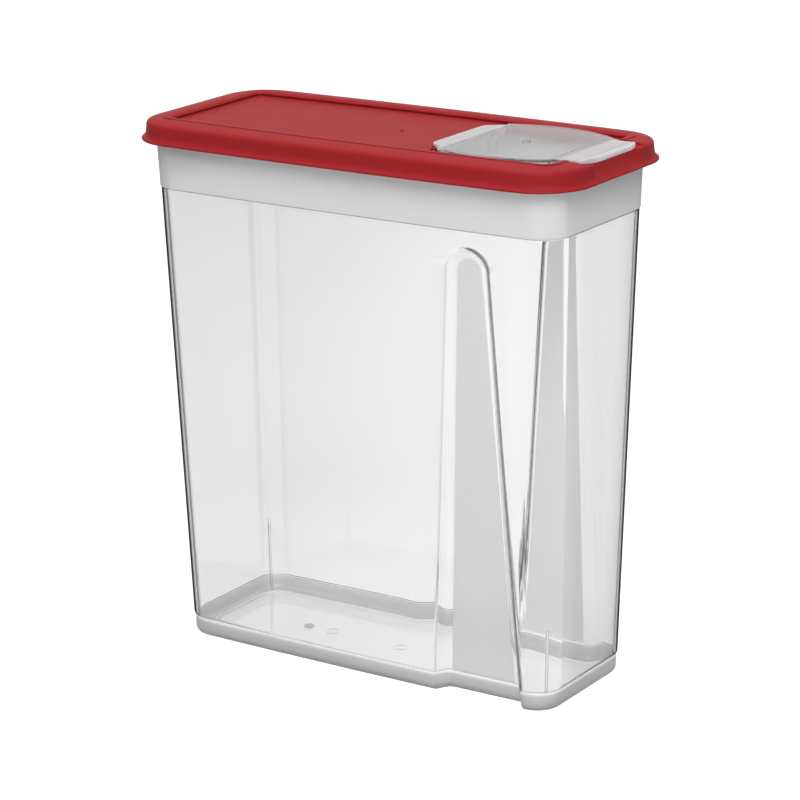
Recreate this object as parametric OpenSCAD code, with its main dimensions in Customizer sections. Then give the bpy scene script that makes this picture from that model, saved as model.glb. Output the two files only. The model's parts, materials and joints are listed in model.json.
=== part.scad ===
// Cereal container with a flip spout.
// A clear drafted container with a grip pressed into each broad side, a lid that lifts off,
// and a clear flip cap that turns on two pins in the lid.
// The origin is the centre of the base; +X points to the pouring end and +Z up.

/* [Container] */
// Length between the flat ends, just above the base step
body_l = 214.8; // [190:0.2:240]
// Width between the broad sides at their middle, just above the base step
body_w = 78.8; // [72:0.2:92]
// Plan radius of the corners, just above the base step
body_corner_r = 13.5; // [9:0.5:18]
// How far the broad sides bow out at their middle
side_bow = 1.1; // [0.6:0.1:2]
// Height of the container to the top of its rim
body_h = 263; // [200:1:300]
// Draft of the walls, degrees
draft = 1.75; // [0.8:0.05:2.5]
// Share of the walls' taper that moves the corners out; the rest rounds them more
corner_spread = 0.82; // [0:0.02:0.9]
// Thickness of the walls
wall_t = 1.8; // [1.4:0.1:2.4]
// Thickness of the floor
floor_t = 2.2; // [1.6:0.1:3]

/* [Base] */
// Height of the plinth below the base step
plinth_h = 9.6; // [8.4:0.2:12]
// How far the plinth is set in from the wall above it
plinth_inset = 0.7; // [0.3:0.1:1.2]
// Radius of the plinth's lower edge
plinth_edge_r = 6.5; // [4:0.5:8]

/* [Collar and rim] */
// Height of the frosted collar band below the rim
collar_h = 30.5; // [20:0.5:40]
// How far the collar stands proud of the wall
collar_proud = 0.6; // [0.3:0.1:1.2]
// How far the rim flange reaches out from the collar
flange_out = 3; // [2:0.1:3.4]
// Thickness of the rim flange
flange_t = 2; // [1.4:0.1:3]

/* [Grips] */
// Distance of the grips from the middle, towards the spout
grip_x = 68; // [50:1:70]
// Height of the centre of the grip's round top
grip_top_z = 214; // [150:1:216]
// Half width of the grip's floor at its round top
grip_floor_top = 7.3; // [5:0.1:9]
// Half width of the grip's floor at the base
grip_floor_base = 18; // [12:0.5:20]
// Width that each side wall of the grip takes at its round top
grip_flank_top = 4.5; // [3:0.5:6]
// Width that each side wall of the grip takes at the base
grip_flank_base = 7; // [4:0.5:8]
// Depth of the grip at its round top
grip_depth_top = 3; // [2:0.1:4]
// Depth of the grip at the base
grip_depth_base = 7; // [5:0.1:9]

/* [Corner ribs] */
// Height of the thin ribs in the corners that keep stacked containers apart
rib_h = 36; // [20:1:60]
// Thickness of those ribs
rib_t = 0.9; // [0.7:0.1:1.5]
// How far those ribs stand in from the corner
rib_d = 1.6; // [1:0.1:2.5]

/* [Lid] */
// How far the lid's lip reaches past the container's rim flange
lid_over = 5.2; // [4.6:0.1:7]
// Plan radius of the lid's corners at the lip
lid_corner_r = 26; // [20:0.5:28]
// How far the lid's long sides bow out at their middle
lid_bow = 1.5; // [0.6:0.1:2.5]
// Thickness of the lid's walls
lid_t = 1.8; // [1.4:0.1:2.2]
// Height of the lid's outer edge over its lip
skirt_h = 9.4; // [8:0.2:12]
// Height of the flared lip at the foot of the skirt
lip_h = 2.6; // [2:0.1:4]
// How far the lip flares out
lip_out = 1.8; // [1:0.1:2.5]
// Rise of the crowned rim from its outer edge to the panel
crown_h = 1.7; // [0.8:0.1:2.5]
// Width of the crowned rim
crown_w = 14.8; // [12:0.1:18]
// Depth of the panel below the rim's inner edge
panel_d = 2.6; // [2:0.1:3.4]
// Plan radius of the panel's corners
panel_corner_r = 3.5; // [2:0.5:6]
// How far the panel's long sides bow out at their middle
panel_bow = 1.8; // [0.5:0.1:3]
// Draft that the panel's edge walls take in plan
panel_draft = 0.3; // [0.2:0.1:1]
// Width of the bevel where the crown falls to the panel
panel_bevel = 1.6; // [0.8:0.1:2]
// Depth of the seal ring that hangs inside the container's mouth
seal_h = 7; // [4:0.5:10]
// Thickness of the seal ring
seal_t = 1.4; // [1:0.1:2]
// Clearance between the seal ring and the container's inner wall
seal_gap = 0.6; // [0.4:0.1:1.2]
// Clearance between the lid and the rim that it rests on
seat_gap = 0.3; // [0.2:0.05:0.5]
// Depth of the finger scoop in the skirt below the cap's tab
scoop_d = 0.9; // [0.4:0.1:1]

/* [Flip cap] */
// Gap between the front of the cap's pouring part and the panel's front wall
cap_front_gap = 3.3; // [2.6:0.1:6]
// Length of the cap's pouring part
cap_l = 58.9; // [50:0.1:60]
// Gap between the cap at its widest and the panel's side walls
cap_side_gap = 0.4; // [0.3:0.05:6]
// Radius of the cap's curved sides
cap_side_r = 66; // [60:1:120]
// Distance from the rear edge to the widest point
cap_wide_x = 25.7; // [20:0.1:35]
// Thickness of the cap's sheet
cap_t = 1.4; // [1:0.1:1.6]
// Height of the cap's underside over the panel
cap_lift = 0.7; // [0.4:0.1:1]
// Depth of the cap's plug below the sheet
plug_h = 8; // [5:0.5:10]
// Thickness of the plug's wall
plug_t = 1.4; // [1:0.1:2]
// How far the plug is set in from the sheet's edge
plug_inset = 1.2; // [1:0.1:1.6]
// Clearance around the plug and the heel in the lid's opening
cap_gap = 0.45; // [0.3:0.05:0.8]
// Half width of the pocket in the plug's rear wall
pocket_half_w = 8; // [5:0.5:12]
// Depth of the pocket in the plug's rear wall
pocket_d = 5; // [3:0.5:8]

/* [Heel and hinge] */
// Length of the heel behind the pouring part
heel_l = 8.8; // [7.6:0.1:10]
// Step at each side from the pouring part's rear corner in to the heel
heel_step = 4; // [3.6:0.1:6]
// How much narrower each side of the heel is at its rear corners
heel_taper = 3.2; // [2:0.1:6]
// Radius of the heel's rear corners
heel_corner_r = 4.5; // [3:0.5:6]
// Radius of the hinge pins
pin_r = 1.2; // [1:0.05:1.3]
// Radial clearance of the pins in their bores
pin_gap = 0.05; // [0.02:0.01:0.1]
// Length of each pin past the face of its ear on the cap
pin_l = 3; // [2:0.1:3.2]
// Distance of the hinge axis behind the pouring part
hinge_back = 2.7; // [2.5:0.05:3]
// Distance of the hinge axis below the cap's sheet
hinge_drop = 1.4; // [1.3:0.05:1.6]
// Radius of the lid's ears around the bores
ear_r = 2.2; // [2:0.05:2.2]
// Thickness of the ears on the cap and on the lid
ear_t = 2.4; // [2:0.1:3]

/* [Thumb tab] */
// Half width of the neck between the pouring part and the tab
neck_half_w = 26; // [20:0.5:26.5]
// Half width of the thumb tab at its root
tab_half_w = 24.5; // [16:0.5:25]
// Half width of the thumb tab at its front edge
tab_front_half_w = 20.5; // [12:0.5:21]
// Length of the tab's raised ridge
tab_l = 10.6; // [8:0.1:12]
// Height of the ridge over the neck
tab_rise = 1.2; // [0.6:0.1:1.8]
// How far the tab's front edge stays back from the lid's edge
tab_back = 0.2; // [0:0.1:1]

/* [Hidden] */
$fn = 64;
corner_steps = 12;
side_steps = 4;
edge_steps = 6;
eps = 0.01;
slope = tan(draft);

// Plan path of the container: the centres of its corners, with the sides' bow
body_cx = body_l / 2 - body_corner_r;
body_cy = body_w / 2 - side_bow - body_corner_r;
plinth_r = body_corner_r - plinth_inset;
collar_z = body_h - collar_h;
rim_r = wall_r(body_h) + collar_proud + flange_out;

// Plan path and heights of the lid
lip_x = body_cx + rim_r + lid_over;
lip_y = body_cy + side_bow + rim_r + lid_over;
lid_cx = lip_x - lid_corner_r;
lid_cy = lip_y - lid_bow - lid_corner_r;
edge_r = lid_corner_r - lip_out - 0.8;
skirt_r = edge_r + 0.8;
edge_z = body_h + seat_gap + lid_t;
lip_z = edge_z - skirt_h;
flare_z = lip_z + lip_h;
crown_z = edge_z + crown_h;
crown_r = edge_r - crown_w;
panel_z = crown_z - panel_d;
panel_half_l = lid_cx + crown_r;
panel_half_w = lid_cy + lid_bow + crown_r;
panel_cx = panel_half_l - panel_corner_r;
panel_cy = panel_half_w - panel_bow - panel_corner_r;

// Heights and places of the flip cap
sheet_z = panel_z + cap_lift;
cap_top_z = sheet_z + cap_t;
cap_x1 = panel_half_l - cap_front_gap;
cap_x0 = cap_x1 - cap_l;
cap_mid_x = cap_x0 + cap_wide_x;
cap_half_w = side_y(panel_cx, panel_cy, panel_bow, panel_corner_r - panel_draft, cap_mid_x) - cap_side_gap;
cap_rear_half_w = cap_half_w - cap_side_r + sqrt(cap_side_r * cap_side_r - cap_wide_x * cap_wide_x);
heel_half_w = cap_rear_half_w - heel_step;
heel_rear_half_w = heel_half_w - heel_taper;
heel_x = cap_x0 - heel_l;
hinge_x = cap_x0 - hinge_back;
hinge_z = sheet_z - hinge_drop;
lid_ear_y = heel_half_w + cap_gap;
tab_x1 = lid_cx + edge_r - tab_back;
tab_x0 = tab_x1 - tab_l;
notch_half_w = neck_half_w + cap_gap;
notch_z = sheet_z - seat_gap;

// Radius of the container's outer wall about its corner centres at a height
function wall_r(z) = body_corner_r + (z - plinth_h) * slope;

// How far the corner centres of the container's wall have moved out at a height
function spread(z) = (z - plinth_h) * slope * corner_spread;

// Half width of a bowed side at x, grown by r from the path of its corner centres
function side_y(cx, cy, bow, r, x) =
    let (side_r = (cx * cx + bow * bow) / (2 * bow))
    cy + bow - side_r + sqrt((side_r + r) * (side_r + r) - x * x);

// Points of an arc from angle a to b about [x, y]
function arc(x, y, r, a, b, steps) =
    [for (i = [0:steps]) [x + r * cos(a + (b - a) * i / steps), y + r * sin(a + (b - a) * i / steps)]];

// First quarter of a bowed rounded rectangle, grown by r from the path of its corner centres
function quarter(cx, cy, bow, r) =
    let (side_r = (cx * cx + bow * bow) / (2 * bow), tilt = asin(cx / side_r))
    concat(
        arc(cx, cy, r, 0, 90 - tilt, corner_steps),
        [for (i = [1:side_steps]) let (t = tilt * (1 - i / side_steps))
            [(side_r + r) * sin(t), cy + bow - side_r + (side_r + r) * cos(t)]]
    );

// Whole outline, mirrored from its first quarter
function outline(cx, cy, bow, r) =
    let (q = quarter(cx, cy, bow, r), n = len(q))
    concat(
        q,
        [for (i = [n - 2:-1:0]) [-q[i][0], q[i][1]]],
        [for (p = q) [-p[0], -p[1]]],
        [for (i = [n - 2:-1:1]) [q[i][0], -q[i][1]]],
        [[q[0][0], -q[0][1]]]
    );

// Solid lofted through outlines, from the foot up: each level is [distance from the path, height],
// with how far the path's corner centres have moved out as a third value where they have
module loft(cx, cy, bow, levels) {
    n = len(outline(cx, cy, bow, 1));
    m = len(levels);
    polyhedron(
        points = [for (lv = levels)
            let (out = len(lv) > 2 ? lv[2] : 0)
            for (p = outline(cx + out, cy + out, bow, lv[0] - out)) [p[0], p[1], lv[1]]],
        faces = concat(
            [[for (j = [0:n - 1]) j]],
            [for (i = [0:m - 2]) for (j = [0:n - 1])
                let (k = (j + 1) % n) [i * n + j, (i + 1) * n + j, (i + 1) * n + k, i * n + k]],
            [[for (j = [n - 1:-1:0]) (m - 1) * n + j]]
        )
    );
}

// Plate with the outline of the path grown by r
module plate(cx, cy, bow, r, z, h) {
    translate([0, 0, z]) linear_extrude(h) polygon(outline(cx, cy, bow, r));
}

// Outside of the container, from the base to the rim
module container_outside() {
    flange_z = body_h - flange_t;
    rim_spread = 0.4 * spread(body_h);
    loft(body_cx, body_cy, side_bow, concat(
        arc(plinth_r - plinth_edge_r, plinth_edge_r, plinth_edge_r, -90, 0, edge_steps),
        [
            [plinth_r, plinth_h - plinth_inset],
            [wall_r(plinth_h), plinth_h],
            [wall_r(collar_z), collar_z, spread(collar_z)],
            [wall_r(collar_z) + collar_proud, collar_z + collar_proud, spread(collar_z)],
            [wall_r(flange_z) + collar_proud, flange_z - flange_out / 2, spread(flange_z)],
            [rim_r, flange_z, rim_spread],
            [rim_r, body_h - 0.5, rim_spread],
            [rim_r - 0.5, body_h, rim_spread]
        ]
    ));
}

// Inside of the container, a wall's thickness in from the outside
module container_inside() {
    edge_r = plinth_edge_r - wall_t;
    edge_z = floor_t + edge_r;
    foot_r = wall_r(edge_z) - wall_t;
    loft(body_cx, body_cy, side_bow, concat(
        arc(foot_r - edge_r, edge_z, edge_r, -90, 0, edge_steps),
        [[wall_r(body_h + 1) - wall_t, body_h + 1, spread(body_h + 1)]]
    ));
}

// Outline of a grip's face in its own plane: round at the top and wider at the base
module grip_face(top_half_w, base_half_w) {
    polygon(concat(
        [[-base_half_w, -2], [base_half_w, -2]],
        arc(0, grip_top_z, top_half_w, 0, 180, 2 * corner_steps)
    ));
}

// Solid that presses a grip into the broad side; grow adds the wall's thickness all round
module grip_solid(grow) {
    face_y = body_w / 2 - plinth_h * slope;
    floor_lean = atan((grip_depth_base - grip_depth_top) / grip_top_z) + draft;
    hull() {
        translate([grip_x, face_y - grip_depth_base - grow, 0]) rotate([90 - floor_lean, 0, 0])
            linear_extrude(eps) grip_face(grip_floor_top + grow / 2, grip_floor_base + grow / 2);
        translate([grip_x, face_y - grow, 0]) rotate([90 - draft, 0, 0]) linear_extrude(eps)
            grip_face(
                grip_floor_top + grip_flank_top + grow / 2,
                grip_floor_base + grip_flank_base + grow / 2
            );
        translate([grip_x, face_y + 12, 0]) rotate([90 - draft, 0, 0]) linear_extrude(eps)
            grip_face(
                grip_floor_top + grip_flank_top + grow / 2,
                grip_floor_base + grip_flank_base + grow / 2
            );
    }
}

// Thin rib in a corner, from the floor up
module corner_rib() {
    foot_r = wall_r(floor_t) - wall_t;
    translate([body_cx, body_cy, 0]) rotate([0, 0, 45]) rotate([90, 0, 0])
        linear_extrude(rib_t, center = true) polygon([
            [foot_r - rib_d, floor_t - eps],
            [foot_r + 0.9, floor_t - eps],
            [foot_r + 0.9 + rib_h * slope, rib_h],
            [foot_r + rib_h * slope - 0.3, rib_h],
            [foot_r + rib_h * slope - rib_d, rib_h - 2 * rib_d]
        ]);
}

module container() {
    color([0.85, 0.87, 0.88, 0.4]) difference() {
        container_outside();
        difference() {
            container_inside();
            for (side = [0, 1]) mirror([0, side, 0]) grip_solid(wall_t);
            for (mx = [0, 1]) for (my = [0, 1]) mirror([mx, 0, 0]) mirror([0, my, 0]) corner_rib();
        }
        for (side = [0, 1]) mirror([0, side, 0]) grip_solid(0);
    }
}

// Outside of the lid: flared lip, skirt, rounded edge and crown
module lid_outside() {
    loft(lid_cx, lid_cy, lid_bow, [
        [lid_corner_r, lip_z],
        [lid_corner_r, lip_z + 0.8],
        [skirt_r, flare_z],
        [edge_r + 0.2, edge_z - 1.6],
        [edge_r - 0.3, edge_z - 0.6],
        [edge_r - 1.4, edge_z],
        [edge_r - crown_w / 2, edge_z + crown_h * 0.65],
        [crown_r - 1, crown_z]
    ]);
}

// Underside of the lid, a wall's thickness in from the outside
module lid_inside() {
    loft(lid_cx, lid_cy, lid_bow, [
        [lid_corner_r - lid_t, lip_z - 1],
        [lid_corner_r - lid_t, lip_z],
        [skirt_r - lid_t, flare_z],
        [edge_r + 0.2 - lid_t, edge_z - lid_t - 0.6],
        [edge_r - 2.2, edge_z - lid_t],
        [edge_r - crown_w / 2, edge_z + crown_h * 0.65 - lid_t],
        [crown_r - 1, crown_z - lid_t]
    ]);
}

// Seal ring that hangs from the rim into the container's mouth
module seal_ring() {
    foot_z = edge_z - lid_t - seal_h;
    out = spread(foot_z);
    mouth_r = wall_r(foot_z) - wall_t - seal_gap - out;
    difference() {
        plate(body_cx + out, body_cy + out, side_bow, mouth_r, foot_z, seal_h + lid_t);
        plate(body_cx + out, body_cy + out, side_bow, mouth_r - seal_t, foot_z - 1, seal_h + lid_t + 2);
    }
}

// Pocket above the panel, with drafted walls
module panel_pocket() {
    loft(panel_cx, panel_cy, panel_bow, [
        [panel_corner_r - panel_draft, panel_z],
        [panel_corner_r, crown_z - panel_bevel * 0.7],
        [panel_corner_r + panel_bevel, crown_z],
        [panel_corner_r + panel_bevel + 1, crown_z + 1]
    ]);
}

// Barrel shape of the cap's pouring part, set in by inset and spanning z to z + h
module barrel(inset, z, h) {
    r = cap_side_r - inset;
    half_w = cap_half_w - cap_side_r;
    intersection() {
        translate([cap_mid_x, half_w, z]) cylinder(r = r, h = h, $fn = 160);
        translate([cap_mid_x, -half_w, z]) cylinder(r = r, h = h, $fn = 160);
        translate([cap_x0 + inset, -cap_half_w - 5, z])
            cube([cap_l - 2 * inset, 2 * cap_half_w + 10, h]);
    }
}

// Heel behind the pouring part, grown by grow in plan
module heel(grow, z, h) {
    hull() {
        for (side = [-1, 1])
            translate([heel_x + heel_corner_r, side * (heel_rear_half_w - heel_corner_r), z])
                cylinder(r = heel_corner_r + grow, h = h, $fn = 32);
        translate([cap_x0 - 1.2, -heel_half_w - grow, z]) cube([1.2 + grow, 2 * (heel_half_w + grow), h]);
    }
}

// Opening in the lid under the cap: the plug's outline and the room in which the heel and its ears swing
module pour_opening() {
    rear_swing = norm([hinge_x - heel_x, cap_top_z - hinge_z]) - (hinge_x - heel_x);
    top_swing = cap_top_z - hinge_z + cap_gap;
    half_w = heel_half_w + cap_gap;
    z = panel_z - lid_t - 1;
    h = lid_t + 3;
    barrel(plug_inset - cap_gap, z, h);
    hull() {
        translate([-rear_swing, 0, 0]) heel(cap_gap, z, h);
        translate([hinge_x - top_swing, -half_w, z])
            cube([cap_x0 + plug_inset - hinge_x + top_swing, 2 * half_w, h]);
    }
}

// Ear of the lid that holds one hinge pin
module lid_ear() {
    translate([hinge_x, lid_ear_y, hinge_z]) rotate([-90, 0, 0]) cylinder(r = ear_r, h = ear_t);
}

// Scoop in the skirt that lets a finger get under the tab
module finger_scoop() {
    face_x = lid_cx + edge_r + 0.2;
    half_w = tab_front_half_w;
    intersection() {
        translate([0, half_w + 2, 0]) rotate([90, 0, 0]) linear_extrude(2 * half_w + 4) polygon([
            [face_x - scoop_d, edge_z + 1],
            [face_x - scoop_d, edge_z - 3],
            [face_x + 1, flare_z + 0.6],
            [face_x + 1, edge_z + 1]
        ]);
        translate([0, 0, flare_z]) linear_extrude(edge_z - flare_z + 2) polygon([
            [face_x - scoop_d - 0.5, -half_w + 1.5],
            [face_x + 2, -half_w - 1],
            [face_x + 2, half_w + 1],
            [face_x - scoop_d - 0.5, half_w - 1.5]
        ]);
    }
}

// Seat that carries the cap's neck across the front rim
module neck_seat() {
    seat_x0 = panel_half_l - 0.5;
    seat_z = edge_z - lid_t;
    translate([seat_x0, -notch_half_w - lid_t, seat_z])
        cube([lid_cx + edge_r - 2 - seat_x0, 2 * (notch_half_w + lid_t), notch_z - seat_z + 1]);
}

module lid() {
    color([0.66, 0.13, 0.16]) difference() {
        union() {
            difference() {
                union() {
                    difference() {
                        lid_outside();
                        lid_inside();
                    }
                    plate(
                        panel_cx, panel_cy, panel_bow, panel_corner_r + lid_t,
                        panel_z - lid_t, panel_d + lid_t - 0.6
                    );
                    neck_seat();
                }
                panel_pocket();
                pour_opening();
            }
            seal_ring();
            for (side = [0, 1]) mirror([0, side, 0]) lid_ear();
        }
        for (side = [0, 1]) mirror([0, side, 0])
            translate([hinge_x, lid_ear_y - 1, hinge_z]) rotate([-90, 0, 0])
                cylinder(r = pin_r + pin_gap, h = ear_t + 2);
        translate([panel_half_l - 3, -notch_half_w, notch_z]) cube([30, 2 * notch_half_w, 10]);
        finger_scoop();
    }
}

// Ear under the cap's heel, with the hinge pin on its outer face
module cap_ear() {
    translate([hinge_x, heel_half_w - ear_t, hinge_z]) rotate([-90, 0, 0]) cylinder(r = ear_r, h = ear_t);
    translate([hinge_x - ear_r, heel_half_w - ear_t, hinge_z]) cube([2 * ear_r, ear_t, hinge_drop + eps]);
    translate([hinge_x, heel_half_w - 0.5, hinge_z]) rotate([-90, 0, 0]) cylinder(r = pin_r, h = pin_l + 0.5);
}

// Plug below the sheet, with a pocket in its rear wall
module plug() {
    z = sheet_z - plug_h;
    difference() {
        barrel(plug_inset, z, plug_h + eps);
        difference() {
            barrel(plug_inset + plug_t, z - 1, plug_h + 1);
            translate([cap_x0, -pocket_half_w - plug_t, z - 1])
                cube([plug_inset + pocket_d + plug_t, 2 * (pocket_half_w + plug_t), plug_h + 1]);
        }
        translate([cap_x0, -pocket_half_w, z - 1]) cube([plug_inset + pocket_d, 2 * pocket_half_w, plug_h + 1]);
    }
}

// Thumb tab: a raised ridge across the neck, rounded at its front edge and its corners
module thumb_tab() {
    plan = [
        [tab_x0 - 1, tab_half_w],
        [tab_x1 - 7, tab_half_w],
        [tab_x1 - 4, tab_half_w - 1],
        [tab_x1 - 1.6, tab_front_half_w],
        [tab_x1 - 0.4, tab_front_half_w - 4],
        [tab_x1, tab_front_half_w - 8]
    ];
    intersection() {
        translate([0, tab_half_w, 0]) rotate([90, 0, 0]) linear_extrude(2 * tab_half_w) polygon([
            [tab_x0 - 1, sheet_z],
            [tab_x1 - 0.4, sheet_z],
            [tab_x1, sheet_z + 0.4],
            [tab_x1 - 0.3, cap_top_z],
            [tab_x1 - 1.4, cap_top_z + tab_rise * 0.75],
            [tab_x1 - 2.6, cap_top_z + tab_rise],
            [tab_x1 - 4, cap_top_z + tab_rise * 0.85],
            [tab_x1 - 6.5, cap_top_z],
            [tab_x0 - 1, cap_top_z]
        ]);
        translate([0, 0, sheet_z - 1]) linear_extrude(cap_t + tab_rise + 2) polygon(concat(
            plan,
            [for (i = [len(plan) - 1:-1:0]) [plan[i][0], -plan[i][1]]]
        ));
    }
}

module flip_cap() {
    color([0.9, 0.92, 0.93, 0.5]) union() {
        barrel(0, sheet_z, cap_t);
        heel(0, sheet_z, cap_t);
        plug();
        for (side = [0, 1]) mirror([0, side, 0]) cap_ear();
        translate([cap_x1 - 1, -neck_half_w, sheet_z]) cube([tab_x0 - cap_x1 + 1, 2 * neck_half_w, cap_t]);
        thumb_tab();
    }
}

container();
lid();
flip_cap();
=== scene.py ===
"""Cereal container with a flip spout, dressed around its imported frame.

The container is a drafted shell of clear plastic with a frosted collar, foot and grips. The lid is
satin red plastic and carries a clear flip cap on two pins. Sizes are real ones, in metres.
"""

import json
import logging
import math
from dataclasses import dataclass, field
from enum import Enum
from typing import Any, Iterable, Sequence

import bmesh
import bpy
from bmesh.types import BMEdge, BMesh, BMFace, BMVert
from bpy.types import Material, Node, NodeSocket, NodeTree, Object
from mathutils import Matrix, Vector

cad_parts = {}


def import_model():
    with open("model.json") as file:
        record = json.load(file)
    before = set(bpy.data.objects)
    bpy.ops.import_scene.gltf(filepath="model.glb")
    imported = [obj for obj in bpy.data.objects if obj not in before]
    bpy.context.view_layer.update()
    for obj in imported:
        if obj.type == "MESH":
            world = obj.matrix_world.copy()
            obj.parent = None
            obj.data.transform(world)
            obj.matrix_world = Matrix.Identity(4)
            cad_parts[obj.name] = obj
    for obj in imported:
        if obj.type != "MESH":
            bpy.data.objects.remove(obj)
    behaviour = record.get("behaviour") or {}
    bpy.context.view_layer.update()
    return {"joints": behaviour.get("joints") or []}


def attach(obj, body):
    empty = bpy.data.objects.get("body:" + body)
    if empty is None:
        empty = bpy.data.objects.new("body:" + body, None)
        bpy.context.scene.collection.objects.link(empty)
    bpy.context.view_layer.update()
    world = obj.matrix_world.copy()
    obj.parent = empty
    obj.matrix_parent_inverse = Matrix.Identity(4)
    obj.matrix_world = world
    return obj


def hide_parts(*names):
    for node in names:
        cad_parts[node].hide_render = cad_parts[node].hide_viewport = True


LOG = logging.getLogger("cereal_container")
MM = 0.001
CLEAR_IOR = 1.49

Point = tuple[float, float, float]
Colour = tuple[float, float, float, float]
Pair = tuple[float, float]


class Body(Enum):
    """The bodies of the frame that pieces ride on."""

    CONTAINER = "container"
    LID = "lid"
    FLIP_CAP = "flip_cap"


class Slot(Enum):
    """The record's material slots."""

    CLEAR = "clear_plastic"
    RED = "red_plastic"
    CAP = "cap_plastic"


class ShellFace(Enum):
    """The container's kinds of face, each with the number of its material."""

    OUTER = 0
    INNER = 1
    FLOOR = 2


def smoothstep(t: float) -> float:
    """Blends from 0 to 1 with flat ends."""
    t = min(max(t, 0.0), 1.0)
    return t * t * (3 - 2 * t)


def spans(stops: Sequence[float], counts: Sequence[int]) -> list[float]:
    """Divides each span between stops into even steps.

    Args:
        stops: The ends of the spans, in order.
        counts: How many steps each span takes.

    Returns:
        The places, from the first stop to the last.
    """
    places = [low + (high - low) * i / n for low, high, n in zip(stops, stops[1:], counts) for i in range(n)]
    return places + [stops[-1]]


def arc(centre: Pair, radius: float, start: float, end: float, steps: int) -> list[Pair]:
    """Gives the points of an arc.

    Args:
        centre: The arc's centre.
        radius: Its radius.
        start: First angle in degrees, where 0 points along the first axis.
        end: Last angle in degrees.
        steps: How many steps the arc takes.

    Returns:
        The points.
    """
    angles = [math.radians(degrees) for degrees in spans([start, end], [steps])]
    return [(centre[0] + radius * math.cos(a), centre[1] + radius * math.sin(a)) for a in angles]


def in_metres(points: Iterable[Pair]) -> list[Pair]:
    """Turns points in millimetres into metres."""
    return [(a * MM, b * MM) for a, b in points]


def mirrored(far: Sequence[Pair], z: float) -> list[Vector]:
    """Closes an outline with the mirror image of its far half."""
    near = [(x, -y) for x, y in reversed(far)]
    return [Vector((x, y, z)) for x, y in [*far, *near]]


def grey(level: float, blue: float) -> Colour:
    """Gives a grey with its own share of blue."""
    return level, level, blue, 1


# Shader maths


class Value:
    """A number socket of a shader, with the operators that the finishes use."""

    def __init__(self, shader: "Shader", socket: Any) -> None:
        """Keeps the shader and the socket."""
        self.shader = shader
        self.socket = socket

    def math(self, operation: str, *others: "Value | float") -> "Value":
        """Adds one Math node on this value and the others."""
        inputs = {0: self, **{i + 1: other for i, other in enumerate(others)}}
        return self.shader.value("ShaderNodeMath", {"operation": operation}, inputs)

    def __add__(self, other: "Value | float") -> "Value":
        """Adds."""
        return self.math("ADD", other)

    __radd__ = __add__

    def __sub__(self, other: "Value | float") -> "Value":
        """Subtracts."""
        return self.math("SUBTRACT", other)

    def __rsub__(self, other: float) -> "Value":
        """Subtracts this value from a number."""
        return (self * -1.0) + other

    def __mul__(self, other: "Value | float") -> "Value":
        """Multiplies."""
        return self.math("MULTIPLY", other)

    __rmul__ = __mul__

    def __truediv__(self, other: "Value | float") -> "Value":
        """Divides."""
        return self.math("DIVIDE", other)

    def above(self, edge: float, width: float) -> "Value":
        """Rises from 0 to 1 as the value passes the edge, over the width."""
        inputs = {0: self, 1: edge - width / 2, 2: edge + width / 2, 3: 0.0, 4: 1.0}
        return self.shader.value("ShaderNodeMapRange", {"interpolation_type": "SMOOTHSTEP"}, inputs)


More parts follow.
